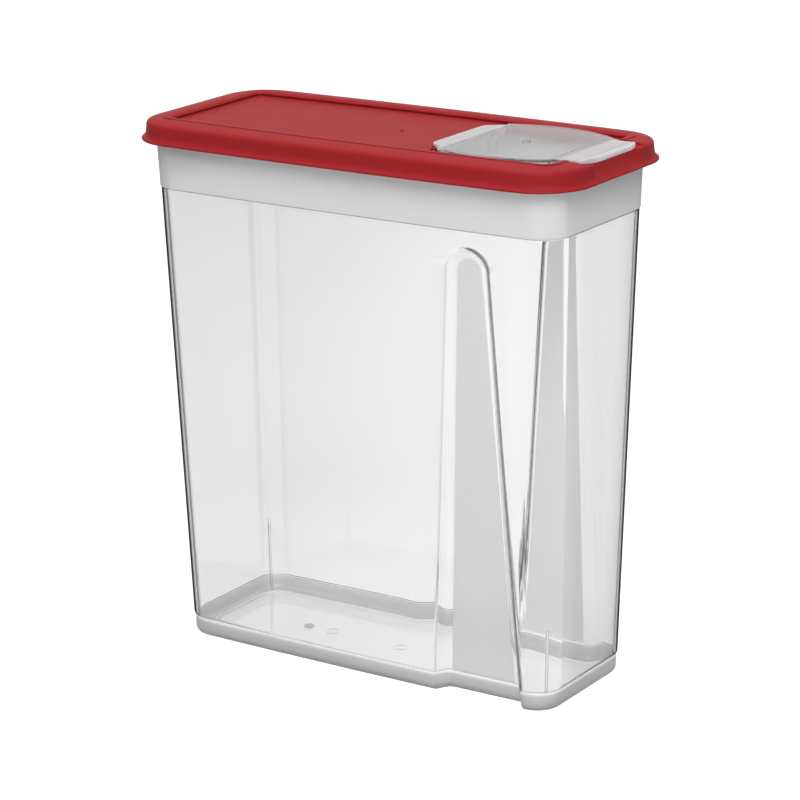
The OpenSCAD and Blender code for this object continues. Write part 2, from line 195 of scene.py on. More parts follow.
class Shader:
    """A material's or the world's node tree, with one method that makes any node."""

    def __init__(self, tree: NodeTree) -> None:
        """Empties the tree and keeps it."""
        self.tree = tree
        tree.nodes.clear()

    def node(self, kind: str, settings: dict[str, Any] | None = None,
             inputs: dict[Any, Any] | None = None) -> Node:
        """Makes a node.

        Args:
            kind: The node's type.
            settings: Attributes of the node, set before its inputs. A ramp's stops go under "stops".
            inputs: Values, Value objects or sockets by the input's name or number.

        Returns:
            The new node.
        """
        node = self.tree.nodes.new(kind)
        for name, setting in (settings or {}).items():
            if name == "stops":
                self._set_stops(node, setting)
            else:
                setattr(node, name, setting)
        for name, given in (inputs or {}).items():
            if isinstance(given, Value):
                self.tree.links.new(given.socket, node.inputs[name])
            elif isinstance(given, NodeSocket):
                self.tree.links.new(given, node.inputs[name])
            else:
                node.inputs[name].default_value = given
        return node

    @staticmethod
    def _set_stops(node: Node, stops: Sequence[tuple[float, tuple[float, ...]]]) -> None:
        """Sets a ramp's stops, each a place and a colour."""
        elements = node.color_ramp.elements
        while len(elements) < len(stops):
            elements.new(0.5)
        for element, (place, colour) in zip(elements, stops):
            element.position = place
            element.color = colour

    def value(self, kind: str, settings: dict[str, Any] | None = None,
              inputs: dict[Any, Any] | None = None, output: Any = 0) -> Value:
        """Makes a node and wraps one of its outputs."""
        return Value(self, self.node(kind, settings, inputs).outputs[output])

    def place(self) -> tuple[Value, Value, Value]:
        """Gives the object coordinates as three values, in metres."""
        where = self.node("ShaderNodeTexCoord").outputs["Object"]
        parts = self.node("ShaderNodeSeparateXYZ", None, {0: where})
        return tuple(Value(self, parts.outputs[i]) for i in range(3))

    def noise(self, scale: float, detail: float, roughness: float = 0.5) -> Value:
        """Gives noise on the object coordinates."""
        where = self.node("ShaderNodeTexCoord").outputs["Object"]
        inputs = {"Vector": where, "Scale": scale, "Detail": detail, "Roughness": roughness}
        return self.value("ShaderNodeTexNoise", None, inputs)

    def bump(self, height: Value, strength: float, distance: float) -> NodeSocket:
        """Turns a height into a normal."""
        inputs = {"Height": height, "Strength": strength, "Distance": distance}
        return self.node("ShaderNodeBump", None, inputs).outputs[0]

    def grain(self, scale: float, detail: float, strength: float) -> NodeSocket:
        """Gives the normal of a fine moulded texture."""
        return self.bump(self.noise(scale, detail), strength, 0.05 * MM)

    def rays(self, *kinds: str) -> list[Value]:
        """Gives, for each kind of ray, 1 to that kind and 0 to others."""
        path = self.node("ShaderNodeLightPath")
        return [Value(self, path.outputs[f"Is {kind} Ray"]) for kind in kinds]

    def principled(self, inputs: dict[Any, Any]) -> NodeSocket:
        """Makes a Principled shader."""
        return self.node("ShaderNodeBsdfPrincipled", None, inputs).outputs[0]

    def transparent(self, colour: Colour) -> NodeSocket:
        """Makes a Transparent shader."""
        return self.node("ShaderNodeBsdfTransparent", None, {"Color": colour}).outputs[0]

    def mix(self, factor: Value, first: NodeSocket, second: NodeSocket) -> NodeSocket:
        """Mixes two shaders: the first at 0 and the second at 1."""
        return self.node("ShaderNodeMixShader", None, {0: factor, 1: first, 2: second}).outputs[0]

    def finish(self, surface: NodeSocket) -> None:
        """Links a shader to the material's output."""
        self.node("ShaderNodeOutputMaterial", None, {"Surface": surface})


def new_material(name: str) -> tuple[Material, Shader]:
    """Makes a material with an empty node tree."""
    material = bpy.data.materials.new(name)
    material.use_nodes = True
    return material, Shader(material.node_tree)


@dataclass(frozen=True)
class GripShape:
    """The grip pressed into each broad side: a round top that widens towards the base."""

    x: float = 68 * MM
    top_z: float = 212.7 * MM
    floor_top: float = 6.5 * MM
    floor_base: float = 18 * MM
    flank_top: float = 5.4 * MM
    flank_base: float = 7 * MM
    depth_top: float = 3 * MM
    depth_base: float = 7 * MM
    side_y: float = 18 * MM
    knee: float = 0.8
    knee_depth: float = 0.231

    def fall(self, z: float) -> float:
        """Share of the way from the round top down to the base."""
        return min(max((self.top_z - z) / self.top_z, 0.0), 1.0)

    def floor_half_w(self, z: float) -> float:
        """Half width of the grip's floor at a height."""
        return self.floor_top + (self.floor_base - self.floor_top) * self.fall(z)

    def flank_w(self, z: float) -> float:
        """Width of each flank at a height."""
        return self.flank_top + (self.flank_base - self.flank_top) * self.fall(z)

    def dent(self, x: float, z: float, grow: float) -> float:
        """Depth of the grip below the broad side.

        Args:
            x: Place along the broad side.
            z: Height.
            grow: How much wider the grip is, for the inner face of the wall.

        Returns:
            The depth in metres. It falls to the knee along a power curve, and fades out past it.
        """
        away = math.hypot(x - self.x, max(z - self.top_z, 0.0)) - self.floor_half_w(z) - grow
        t = min(max(away / self.flank_w(z), 0.0), 1.0)
        depth = self.depth_top + (self.depth_base - self.depth_top) * self.fall(z)
        if t < self.knee:
            return depth * (1 - 1.314 * t ** 2.4)
        return depth * self.knee_depth * ((1 - t) / (1 - self.knee)) ** 2

    def zone(self, shader: Shader, grow: float, width: float) -> Value:
        """Gives 1 on the grips' floors and 0 elsewhere.

        Args:
            shader: The tree.
            grow: How much wider the zone is than the floors.
            width: How wide its edge is.

        Returns:
            The value.
        """
        x, y, z = shader.place()
        fall = ((self.top_z - z) / self.top_z).math("MAXIMUM", 0.0)
        half_w = fall * (self.floor_base - self.floor_top) + (self.floor_top + grow)
        rise = (z - self.top_z).math("MAXIMUM", 0.0)
        away = ((x - self.x) * (x - self.x) + rise * rise).math("SQRT")
        return (half_w - away).above(0.0, width) * y.math("ABSOLUTE").above(self.side_y, 1 * MM)


# Finishes


@dataclass(frozen=True)
class ClearPlastic:
    """Clear moulded plastic that darkens where it is seen along its surface."""

    name: str = "clear_plastic"
    tint: Colour = grey(0.955, 0.956)
    roughness: float = 0.02
    edge_tint: Colour = grey(0.08, 0.085)
    edge_start: float = 0.38
    edge_full: float = 0.72
    edge_depth: float = 0.97
    ripple: float = 0.06
    ripple_scale: float = 26.0
    grip: GripShape | None = None
    grip_grow: float = 7 * MM
    grip_share: float = 0.5

    def surface(self, shader: Shader) -> NodeSocket:
        """Adds the clear plastic to a tree.

        Args:
            shader: The tree.

        Returns:
            The shader's socket.
        """
        normal = shader.bump(shader.noise(self.ripple_scale, 1.0), self.ripple, 2 * MM)
        clear = shader.principled({
            "Base Color": self.tint, "Roughness": self.roughness, "IOR": CLEAR_IOR,
            "Transmission Weight": 1.0, "Normal": normal,
        })
        facing = shader.value("ShaderNodeLayerWeight", None, {"Blend": 0.5}, "Facing")
        middle = (self.edge_start + self.edge_full) / 2
        edge = facing.above(middle, self.edge_full - self.edge_start)
        if self.grip:
            edge = edge * (1.0 - self.grip.zone(shader, self.grip_grow, 2 * MM) * self.grip_share)
        return shader.mix(edge * edge * self.edge_depth, clear, shader.transparent(self.edge_tint))

    def material(self) -> Material:
        """Makes the material."""
        material, shader = new_material(self.name)
        shader.finish(let_lamps_through(shader, self.surface(shader)))
        return material


def let_lamps_through(shader: Shader, surface: NodeSocket) -> NodeSocket:
    """Lets the lamps' light through a clear surface.

    Args:
        shader: The tree.
        surface: The clear shader.

    Returns:
        The mixed shader's socket.
    """
    shadow, = shader.rays("Shadow")
    return shader.mix(shadow, surface, shader.transparent(grey(0.9, 0.9)))


@dataclass(frozen=True)
class FrostedPlastic:
    """The same plastic with the textured face that the mould leaves."""

    name: str = "frosted_plastic"
    tint: Colour = grey(0.76, 0.763)
    # Painted shade of the foot, darkest at the base.
    shaded_foot_tint: Colour = grey(0.47, 0.473)
    half_shaded_step_tint: Colour = grey(0.62, 0.623)
    # Painted highlight on the ledge at the top of the foot.
    ledge_highlight_tint: Colour = grey(0.95, 0.953)
    roughness: float = 0.5
    transmission: float = 0.28
    collar_z: float = 232.7 * MM
    foot_z: float = 10.1 * MM
    ledge_z: float = 10.6 * MM
    border: float = 0.2 * MM
    grip: GripShape = field(default_factory=GripShape)

    def surface(self, shader: Shader) -> NodeSocket:
        """Adds the frosted plastic to a tree, with painted shade that darkens the foot towards the base and a
        painted highlight on the ledge above it.

        Args:
            shader: The tree.

        Returns:
            The shader's socket.
        """
        # Painted shade and highlight: by height, the foot darkens towards the base and the ledge carries a
        # bright line.
        stops = [(0.0, self.shaded_foot_tint), (0.74, self.half_shaded_step_tint), (0.86, self.ledge_highlight_tint),
                 (0.97, self.ledge_highlight_tint), (1.0, self.tint)]
        height = shader.place()[2] / self.ledge_z
        colour = shader.node("ShaderNodeValToRGB", {"stops": stops}, {0: height}).outputs[0]
        return shader.principled({
            "Base Color": colour, "Roughness": self.roughness, "IOR": CLEAR_IOR,
            "Transmission Weight": self.transmission, "Normal": shader.grain(2600.0, 2.0, 0.25),
        })

    def mask(self, shader: Shader) -> Value:
        """Gives 1 on the collar, the foot and the floors of the grips, and 0 elsewhere.

        Args:
            shader: The tree.

        Returns:
            The value.
        """
        z = shader.place()[2]
        floor = self.grip.zone(shader, 0.0, 0.25 * MM)
        collar = z.above(self.collar_z, self.border)
        foot = 1.0 - z.above(self.foot_z, self.border)
        return floor.math("MAXIMUM", collar).math("MAXIMUM", foot)


def container_outer_material() -> Material:
    """Makes the outer face's material: clear, with frost on the collar, the foot and the grips.

    Returns:
        The material.
    """
    material, shader = new_material("container_outer")
    frost = FrostedPlastic()
    clear = ClearPlastic(grip=frost.grip)
    surface = shader.mix(frost.mask(shader), clear.surface(shader), frost.surface(shader))
    shader.finish(let_lamps_through(shader, surface))
    return material


def gate_material_with_painted_shade(name: str) -> Material:
    """Makes the clear plastic of a gate, with a grey tint and strong dark edges that are painted shade for the
    dark look its refraction gives.
    """
    # Painted shade: the grey tint and the strong edge darkening stand in for refraction.
    finish = ClearPlastic(name, grey(0.62, 0.625), edge_start=0.2, edge_full=0.9, edge_depth=0.8)
    return finish.material()


@dataclass(frozen=True)
class HazyPlastic:
    """Clear plastic of the cap, with a fine satin texture on its heel and its thumb tab."""

    clear: ClearPlastic = ClearPlastic("cap_plastic", roughness=0.06, edge_start=0.62, edge_full=0.98,
                                       edge_depth=0.6)
    tint: Colour = grey(0.54, 0.543)
    roughness: float = 0.35
    heel_x: float = 45 * MM
    tab_x: float = 105 * MM
    haze: float = 0.04
    satin: float = 0.50

    def material(self) -> Material:
        """Makes the material.

        Returns:
            The material.
        """
        material, shader = new_material(self.clear.name)
        along = shader.place()[0]
        heel = 1.0 - along.above(self.heel_x, 1 * MM)
        ends = heel.math("MAXIMUM", along.above(self.tab_x, 4 * MM))
        hazy = shader.principled({
            "Base Color": self.tint, "Roughness": self.roughness, "IOR": CLEAR_IOR,
            "Normal": shader.grain(2200.0, 2.0, 0.2),
        })
        surface = shader.mix(ends * self.satin + self.haze, self.clear.surface(shader), hazy)
        shader.finish(let_lamps_through(shader, surface))
        return material


@dataclass(frozen=True)
class RedPlastic:
    """Satin red moulded plastic with a fine spark texture."""

    name: str = "satin_red_plastic"
    colour: Colour = (0.292, 0.016, 0.020, 1)
    # Dark red of the painted shade on the wall of the panel's pocket.
    pocket_shade_colour: Colour = (0.085, 0.004, 0.005, 1)
    panel_half: Pair = (106.95 * MM, 39.0 * MM)
    pocket_shade_low_z: float = 264.45 * MM
    pocket_shade_high_z: float = 265.25 * MM
    roughness: float = 0.46
    roughness_spread: float = 0.10
    specular: float = 0.07
    ior: float = 1.46

    def material(self) -> Material:
        """Makes the material, with painted shade: a darker red on the wall of the panel's pocket.

        Returns:
            The material.
        """
        material, shader = new_material(self.name)
        x, y, z = shader.place()
        past_x = x.math("ABSOLUTE") - self.panel_half[0]
        past_y = y.math("ABSOLUTE") - self.panel_half[1]
        within = 1.0 - past_x.math("MAXIMUM", past_y).above(0.0, 0.1 * MM)
        # Painted shade: a band on the pocket's wall, inside the panel, takes the dark red where shade falls.
        wall = z.above(self.pocket_shade_low_z, 0.2 * MM) * (self.pocket_shade_high_z - z).above(0.0, 0.3 * MM)
        colour = shader.node("ShaderNodeMix", {"data_type": "RGBA"}, {
            0: wall * within, 6: self.colour, 7: self.pocket_shade_colour,
        }).outputs[2]
        cloud = shader.noise(30.0, 3.0) * self.roughness_spread
        shader.finish(shader.principled({
            "Base Color": colour, "Roughness": cloud + (self.roughness - self.roughness_spread / 2),
            "IOR": self.ior, "Normal": shader.grain(1900.0, 3.0, 0.18), "Specular IOR Level": self.specular,
        }))
        return material


# Geometry


@dataclass(frozen=True)
class Path:
    """A rounded rectangle with bowed long sides, given by the centres of its corners."""

    cx: float
    cy: float
    bow: float

    def moved(self, out: float) -> "Path":
        """The path with its corner centres moved out."""
        return Path(self.cx + out, self.cy + out, self.bow)

    @property
    def side_r(self) -> float:
        """Radius of the bow of the long sides."""
        return (self.cx ** 2 + self.bow ** 2) / (2 * self.bow)

    @property
    def tilt(self) -> float:
        """Angle of the bow at the corners, in radians."""
        return math.asin(self.cx / self.side_r)

    def side_y(self, x: float, r: float) -> float:
        """Half width of a long side at x, at the distance r from the path."""
        return self.cy + self.bow - self.side_r + math.sqrt((self.side_r + r) ** 2 - x * x)

    def side_end(self, r: float) -> float:
        """Place along the length where a long side ends, at the distance r from the path."""
        return self.cx + r * math.sin(self.tilt)

    def corner(self, r: float, steps: int) -> list[Pair]:
        """Points of the corner in the first quarter, from the end to the long side."""
        return arc((self.cx, self.cy), r, 0, 90 - math.degrees(self.tilt), steps)

    def ring(self, r: float, z: float, side_xs: Sequence[float], end_ys: Sequence[float],
             corner_steps: int = 14) -> list[Vector]:
        """Points of one closed ring around the path.

        Args:
            r: Distance from the path.
            z: Height.
            side_xs: Places along a long side between its corners, from left to right.
            end_ys: Places across the right end between its corners, from near to far.
            corner_steps: How many steps each corner takes.

        Returns:
            The points, counterclockwise from the right end.
        """
        corner = self.corner(r, corner_steps)
        far = [(x, self.side_y(x, r)) for x in reversed(side_xs)]
        left = [(-x, y) for x, y in reversed(corner)]
        plan = [(self.cx + r, y) for y in end_ys] + corner + far + left
        plan += [(x, -y) for x, y in reversed(left)] + [(x, -y) for x, y in reversed(far)]
        plan += [(x, -y) for x, y in reversed(corner)]
        return [Vector((x, y, z)) for x, y in plan]


def picked(geometry: Iterable[Any], kind: type) -> list[Any]:
    """Picks the elements of one kind out of what an operator made."""
    return [element for element in geometry if isinstance(element, kind)]


def loop_verts(mesh: BMesh, points: Sequence[Vector]) -> list[BMVert]:
    """Adds a closed ring through the points and gives its vertices."""
    made = bmesh.ops.create_circle(mesh, cap_ends=False, segments=len(points), radius=1.0)
    for vert, point in zip(made["verts"], points):
        vert.co = point
    return made["verts"]


def edges_of(verts: Iterable[BMVert]) -> list[BMEdge]:
    """Gives the edges of a ring's vertices, in a fixed order."""
    return list(dict.fromkeys(edge for vert in verts for edge in vert.link_edges))


def loop_edges(mesh: BMesh, points: Sequence[Vector]) -> list[BMEdge]:
    """Adds a closed ring through the points and gives its edges."""
    return edges_of(loop_verts(mesh, points))


def ring_of(made: Sequence[Any]) -> list[BMEdge]:
    """Picks the new ring out of what an extrusion made."""
    verts = set(picked(made, BMVert))
    return [edge for edge in picked(made, BMEdge) if set(edge.verts) <= verts]


def extruded(mesh: BMesh, edges: Sequence[BMEdge], step: Vector) -> list[BMEdge]:
    """Extrudes a ring of edges by one step and gives the new ring."""
    made = bmesh.ops.extrude_edge_only(mesh, edges=list(edges))["geom"]
    bmesh.ops.translate(mesh, verts=picked(made, BMVert), vec=step)
    return ring_of(made)


class RingShell:
    """A shell that is extruded ring by ring from one closed ring of edges."""

    def __init__(self, points: Sequence[Vector], mesh: BMesh | None = None,
                 material: int = 0) -> None:
        """Starts with the first ring.

        Args:
            points: The ring's points.
            mesh: The geometry that it is added to, or none for a new one.
            material: Number of the faces' material.
        """
        self.mesh = bmesh.new() if mesh is None else mesh
        self.material = material
        layers = self.mesh.verts.layers.int
        self.station = layers.get("station") or layers.new("station")
        verts = loop_verts(self.mesh, points)
        for number, vert in enumerate(verts):
            vert[self.station] = number
        self.ring = edges_of(verts)

    def extrude(self, points: Sequence[Vector]) -> None:
        """Extrudes the last ring to new points."""
        made = bmesh.ops.extrude_edge_only(self.mesh, edges=self.ring)["geom"]
        for vert in picked(made, BMVert):
            vert.co = points[vert[self.station]]
        self.ring = ring_of(made)
        self._dress(made)

    def fill(self, edges: Iterable[BMEdge]) -> None:
        """Fills the space inside closed rings of edges, less the rings within."""
        made = bmesh.ops.triangle_fill(self.mesh, use_beauty=True, use_dissolve=False, edges=list(edges))
        self._dress(made["geom"])

    def _dress(self, made: Sequence[Any]) -> None:
        """Gives new faces the shell's present material."""
        for face in picked(made, BMFace):
            face.material_index = self.material


def add_mark(mesh: BMesh, place: Point, radius: float, width: float, height: float,
             material: int = 0) -> None:
    """Adds a low round ring, such as a gate or an ejector leaves on a moulding.

    Args:
        mesh: The geometry it is added to.
        place: Its centre on the surface.
        radius: Its outer radius.
        width: How wide the ring is. A disc has the whole radius.
        height: How far it stands proud.
        material: Number of the faces' material.
    """
    soft, sunk = min(height, width) * 0.4, -0.2 * MM
    inner = max(radius - width, 0.05 * MM)
    profile = [(radius, sunk), (radius, height - soft), (radius - soft, height), (inner + soft, height),
               (inner, height - soft), (inner, sunk)]
    shell = None
    for r, up in profile:
        ring = [Vector((x, y, place[2] + up)) for x, y in arc(place[:2], r, 0, 360, 28)[:-1]]
        if shell:
            shell.extrude(ring)
        else:
            shell = RingShell(ring, mesh, material)


def add_barrel(mesh: BMesh, centre: Point, radius: float, length: float) -> None:
    """Adds a capped cylinder that lies across the part."""
    place = Matrix.Translation(centre) @ Matrix.Rotation(math.pi / 2, 4, "X")
    bmesh.ops.create_cone(mesh, cap_ends=True, segments=32, radius1=radius, radius2=radius, depth=length,
                          matrix=place)


def finished_object(name: str, mesh: BMesh, materials: Sequence[Material],
                    smooth_angle: float = 32.0) -> Object:
    """Turns a bmesh into an object at the origin, shaded smooth below an angle.

    Args:
        name: The piece's name.
        mesh: Its geometry, which is freed.
        materials: Its materials, in the order of the faces' numbers.
        smooth_angle: The angle in degrees past which an edge stays sharp.

    Returns:
        The object.
    """
    bmesh.ops.remove_doubles(mesh, verts=mesh.verts, dist=1e-7)
    bmesh.ops.recalc_face_normals(mesh, faces=mesh.faces)
    data = bpy.data.meshes.new(name)
    mesh.to_mesh(data)
    mesh.free()
    for material in materials:
        data.materials.append(material)
    data.shade_smooth()
    data.set_sharp_from_angle(angle=math.radians(smooth_angle))
    piece = bpy.data.objects.new(name, data)
    bpy.context.scene.collection.objects.link(piece)
    return piece


@dataclass
class Container:
    """The clear container: foot, drafted walls with two grips, frosted collar and rim."""

    path: Path = Path(93.9 * MM, 24.8 * MM, 1.1 * MM)
    grip: GripShape = field(default_factory=GripShape)
    corner_r: float = 13.5 * MM
    foot_h: float = 9.6 * MM
    foot_r: float = 12.8 * MM
    foot_edge_r: float = 3.5 * MM
    floor_edge_r: float = 4.7 * MM
    slope: float = math.tan(math.radians(1.75))
    wall: float = 1.8 * MM
    floor: float = 2.2 * MM
    wall_foot_z: float = 13 * MM
    collar_h: float = 30.5 * MM
    collar_proud: float = 0.6 * MM
    flange_out: float = 3.0 * MM
    flange_t: float = 2 * MM
    rim_edge: float = 0.5 * MM
    height: float = 263 * MM
    rib_h: float = 41 * MM
    rib_turn: float = math.radians(38)
    rib_w: float = 0.9 * MM
    rib_d: float = 1.6 * MM
    corner_spread: float = 0.82
    gate_place: Pair = (-54.8 * MM, -1.9 * MM)
    ejector_places: tuple[Pair, ...] = ((-40.3 * MM, -1.5 * MM), (1.5 * MM, -2.4 * MM))
    columns: tuple[int, ...] = (14, 14, 24, 14, 4)
    rows: tuple[int, ...] = (40, 26, 3)
    # The profiles are in millimetres: distance from the path and height.
    base_step: tuple[Pair, ...] = (
        (12.85, 8.5), (12.80, 8.9), (12.62, 9.2), (12.4, 9.38), (12.28, 9.6), (12.45, 9.86), (12.9, 10.06),
        (13.3, 10.35), (13.5, 10.9), (13.57, 11.9))
    collar_step: tuple[Pair, ...] = (
        (0.03, -0.1), (0.2, 0.15), (0.45, 0.35), (0.57, 0.7), (0.6, 1.2), (0.6, 4.0))

    def wall_r(self, z: float) -> float:
        """Distance of the outer wall from the path at a height."""
        return self.corner_r + (z - self.foot_h) * self.slope

    def spread(self, z: float) -> float:
        """How far the corner centres have moved out at a height."""
        return max(z - self.foot_h, 0.0) * self.slope * self.corner_spread

    def side_xs(self, path: Path, r: float, z: float) -> list[float]:
        """Columns of a broad side, which follow the grip's edges.

        Args:
            path: The path at this height.
            r: Distance from the path.
            z: Height.

        Returns:
            The places between the corners, from left to right.
        """
        floor = self.grip.floor_half_w(z)
        reach = floor + self.grip.flank_w(z)
        end = path.side_end(r)
        stops = [-end] + [self.grip.x + away for away in (-reach, -floor, floor, reach)] + [end]
        return spans(stops, self.columns)[1:-1]

    def ring(self, r: float, z: float, grow: float = 0.0, share: float = 1.0) -> list[Vector]:
        """One ring of the shell, with the grips pressed in.

        Args:
            r: Distance from the path.
            z: Height.
            grow: How much wider the grips are, for the inner face.
            share: Share of the corners' spread that the ring takes.

        Returns:
            The ring's points.
        """
        out = self.spread(z) * share
        path = self.path.moved(out)
        end_ys = [path.cy * i / 2 for i in (-1, 0, 1)]
        points = path.ring(r - out, z, self.side_xs(path, r - out, z), end_ys)
        for point in points:
            if abs(point.x) < path.side_end(r - out) and abs(point.y) > path.cy:
                depth = self.grip.dent(point.x, z, grow)
                point.y -= math.copysign(depth, point.y)
        return points

    def wall_heights(self, low: float, high: float) -> list[float]:
        """Heights of the wall's rings, close together over the grip's round top."""
        grip = self.grip
        arch = [grip.top_z - 1 * MM, grip.top_z + grip.floor_top + grip.flank_top + 1 * MM]
        return spans([low, *arch, high], self.rows)

    def outer_levels(self) -> list[Pair]:
        """Levels of the outer face, from the base to the rim.

        Returns:
            The levels, each a distance from the path and a height.
        """
        edge = self.foot_edge_r
        levels = [(self.foot_r - edge - 0.5 * MM, 0.0)]
        levels += arc((self.foot_r - edge, edge), edge, -90, 0, 12) + in_metres(self.base_step)
        collar_z = self.height - self.collar_h
        levels += [(self.wall_r(z), z) for z in self.wall_heights(self.wall_foot_z, collar_z - 0.4 * MM)]
        levels += [(self.wall_r(collar_z) + r, collar_z + z) for r, z in in_metres(self.collar_step)]
        flange_z = self.height - self.flange_t
        for z in (flange_z - 8 * MM, flange_z - 3 * MM, flange_z - 1.6 * MM):
            levels.append((self.wall_r(z) + self.collar_proud, z))
        rim_r = self.wall_r(self.height) + self.collar_proud + self.flange_out
        levels += [(rim_r - 0.4 * MM, flange_z - 0.1 * MM), (rim_r, flange_z + 0.2 * MM)]
        return levels + [(rim_r, self.height - self.rim_edge), (rim_r - self.rim_edge, self.height)]

    def inner_levels(self) -> list[Pair]:
        """Levels of the inner face, from the rim to the floor.

        Returns:
            The levels, each a distance from the path and a height.
        """
        edge = self.floor_edge_r
        edge_z = self.floor + edge
        inner_r = self.wall_r(self.height) - self.wall
        levels = [(inner_r + self.rim_edge, self.height), (inner_r, self.height - self.rim_edge)]
        heights = self.wall_heights(edge_z + 3 * MM, self.height - 3 * MM)
        levels += [(self.wall_r(z) - self.wall, z) for z in reversed(heights)]
        foot_r = self.wall_r(edge_z) - self.wall
        levels += arc((foot_r - edge, edge_z), edge, 0, -90, 10)
        return levels + [(foot_r - edge - 0.6 * MM, self.floor)]

    def build(self) -> Object:
        """Builds the shell.

        Returns:
            The container's object.
        """
        outer, inner = self.outer_levels(), self.inner_levels()
        shell = RingShell(self.ring(*outer[0]))
        shell.material = ShellFace.FLOOR.value
        shell.fill(shell.ring)
        rim_r = self.wall_r(self.height) + self.collar_proud + 1 * MM
        for r, z in outer[1:]:
            shell.material = (ShellFace.FLOOR if z < 0.5 * MM else ShellFace.OUTER).value
            shell.extrude(self.ring(r, z, share=0.4 if r > rim_r else 1.0))
        for r, z in inner:
            shell.material = (ShellFace.FLOOR if z < self.floor + self.floor_edge_r else ShellFace.INNER).value
            shell.extrude(self.ring(r, z, 0.45 * self.wall))
        shell.fill(shell.ring)
        floor = ClearPlastic("container_floor", edge_start=0.80, edge_full=0.98)
        inside = ClearPlastic("container_inner", grip=self.grip)
        materials = [container_outer_material(), inside.material(), floor.material()]
        piece = finished_object("container_shell", shell.mesh, materials)
        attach(piece, Body.CONTAINER.value)
        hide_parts("container")
        return piece

    def build_ribs(self) -> Object:
        """Builds the thin rib in each inner corner.

        Returns:
            The ribs' object.
        """
        mesh = bmesh.new()
        foot_r = self.wall_r(self.floor) - self.wall
        lean = self.rib_h * self.slope
        profile = [(foot_r - self.rib_d, self.floor), (foot_r + 0.3 * MM, self.floor),
                   (foot_r + 0.3 * MM + lean, self.rib_h), (foot_r + lean - 0.4 * MM, self.rib_h),
                   (foot_r + lean - self.rib_d, self.rib_h - 3 * MM)]
        for sx in (1, -1):
            for sy in (1, -1):
                direction = Vector((sx * math.cos(self.rib_turn), sy * math.sin(self.rib_turn), 0))
                across = Vector((-direction.y, direction.x, 0))
                start = Vector((sx * self.path.cx, sy * self.path.cy, 0)) - across * self.rib_w / 2
                edges = loop_edges(mesh, [start + direction * r + Vector((0, 0, z)) for r, z in profile])
                face = bmesh.ops.contextual_create(mesh, geom=edges)["faces"]
                made = bmesh.ops.extrude_face_region(mesh, geom=face)["geom"]
                bmesh.ops.translate(mesh, verts=picked(made, BMVert), vec=across * self.rib_w)
        piece = finished_object("corner_ribs", mesh, [ClearPlastic("rib_plastic", edge_depth=0.35).material()])
        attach(piece, Body.CONTAINER.value)
        return piece

    def build_marks(self) -> Object:
        """Builds the gate and the two ejector rings on the floor.

        Returns:
            The marks' object.
        """
        mesh = bmesh.new()
        gate = (*self.gate_place, self.floor)
        add_mark(mesh, gate, 2.6 * MM, 0.7 * MM, 0.5 * MM)
        add_mark(mesh, gate, 1.3 * MM, 1.2 * MM, 0.9 * MM)
        for x, y in self.ejector_places:
            add_mark(mesh, (x, y, self.floor), 3.4 * MM, 0.4 * MM, 0.2 * MM, 1)
        ejector = ClearPlastic("ejector_plastic", edge_start=0.6, edge_full=1.0, edge_depth=0.4).material()
        # The gate marks use the clear plastic with painted shade.
        piece = finished_object("floor_marks", mesh, [gate_material_with_painted_shade("floor_gate_painted_shade_plastic"), ejector])
        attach(piece, Body.CONTAINER.value)
        return piece


@dataclass
class CapSizes:
    """Places and sizes that the cap and the lid share."""

    hinge: Vector
    panel_z: float = 264.2 * MM
    wide_half_w: float = 37.09 * MM
    side_r: float = 66 * MM
    length: float = 58.9 * MM
    wide_x: float = 25.7 * MM
    hinge_back: float = 2.7 * MM
    heel_l: float = 8.8 * MM
    heel_step: float = 4 * MM
    heel_taper: float = 3.2 * MM
    heel_corner_r: float = 4.5 * MM
    lift: float = 0.7 * MM
    sheet: float = 1.4 * MM
    gap: float = 0.45 * MM
    plug_inset: float = 1.2 * MM
    neck_half_w: float = 26 * MM
    ear_r: float = 2.2 * MM
    ear_t: float = 2.4 * MM

    @property
    def x0(self) -> float:
        """Rear edge of the pouring part."""
        return self.hinge.x + self.hinge_back

    @property
    def x1(self) -> float:
        """Front edge of the pouring part."""
        return self.x0 + self.length

    @property
    def sheet_z(self) -> float:
        """Underside of the cap's sheet."""
        return self.panel_z + self.lift

    @property
    def heel_half_w(self) -> float:
        """Half width of the heel where it meets the pouring part."""
        return self.barrel_half_w(self.x0, 0.0) - self.heel_step

    def barrel_half_w(self, x: float, inset: float) -> float:
        """Half width of the pouring part at x, set in by inset."""
        across = math.sqrt((self.side_r - inset) ** 2 - (x - self.x0 - self.wide_x) ** 2)
        return self.wide_half_w - self.side_r + across

    def barrel_side(self, inset: float, steps: int = 20) -> list[Pair]:
        """Points of the pouring part's far side, from front to rear."""
        xs = spans([self.x1 - inset, self.x0 + inset], [steps])
        return [(x, self.barrel_half_w(x, inset)) for x in xs]

    def heel_side(self, grow: float, back: float) -> list[Pair]:
        """Points of the heel's rear corner on the far side, from front to rear."""
        centre_y = self.heel_half_w - self.heel_taper - self.heel_corner_r
        centre = (self.x0 - self.heel_l + self.heel_corner_r - back, centre_y)
        return arc(centre, self.heel_corner_r + grow, 113, 180, 6)


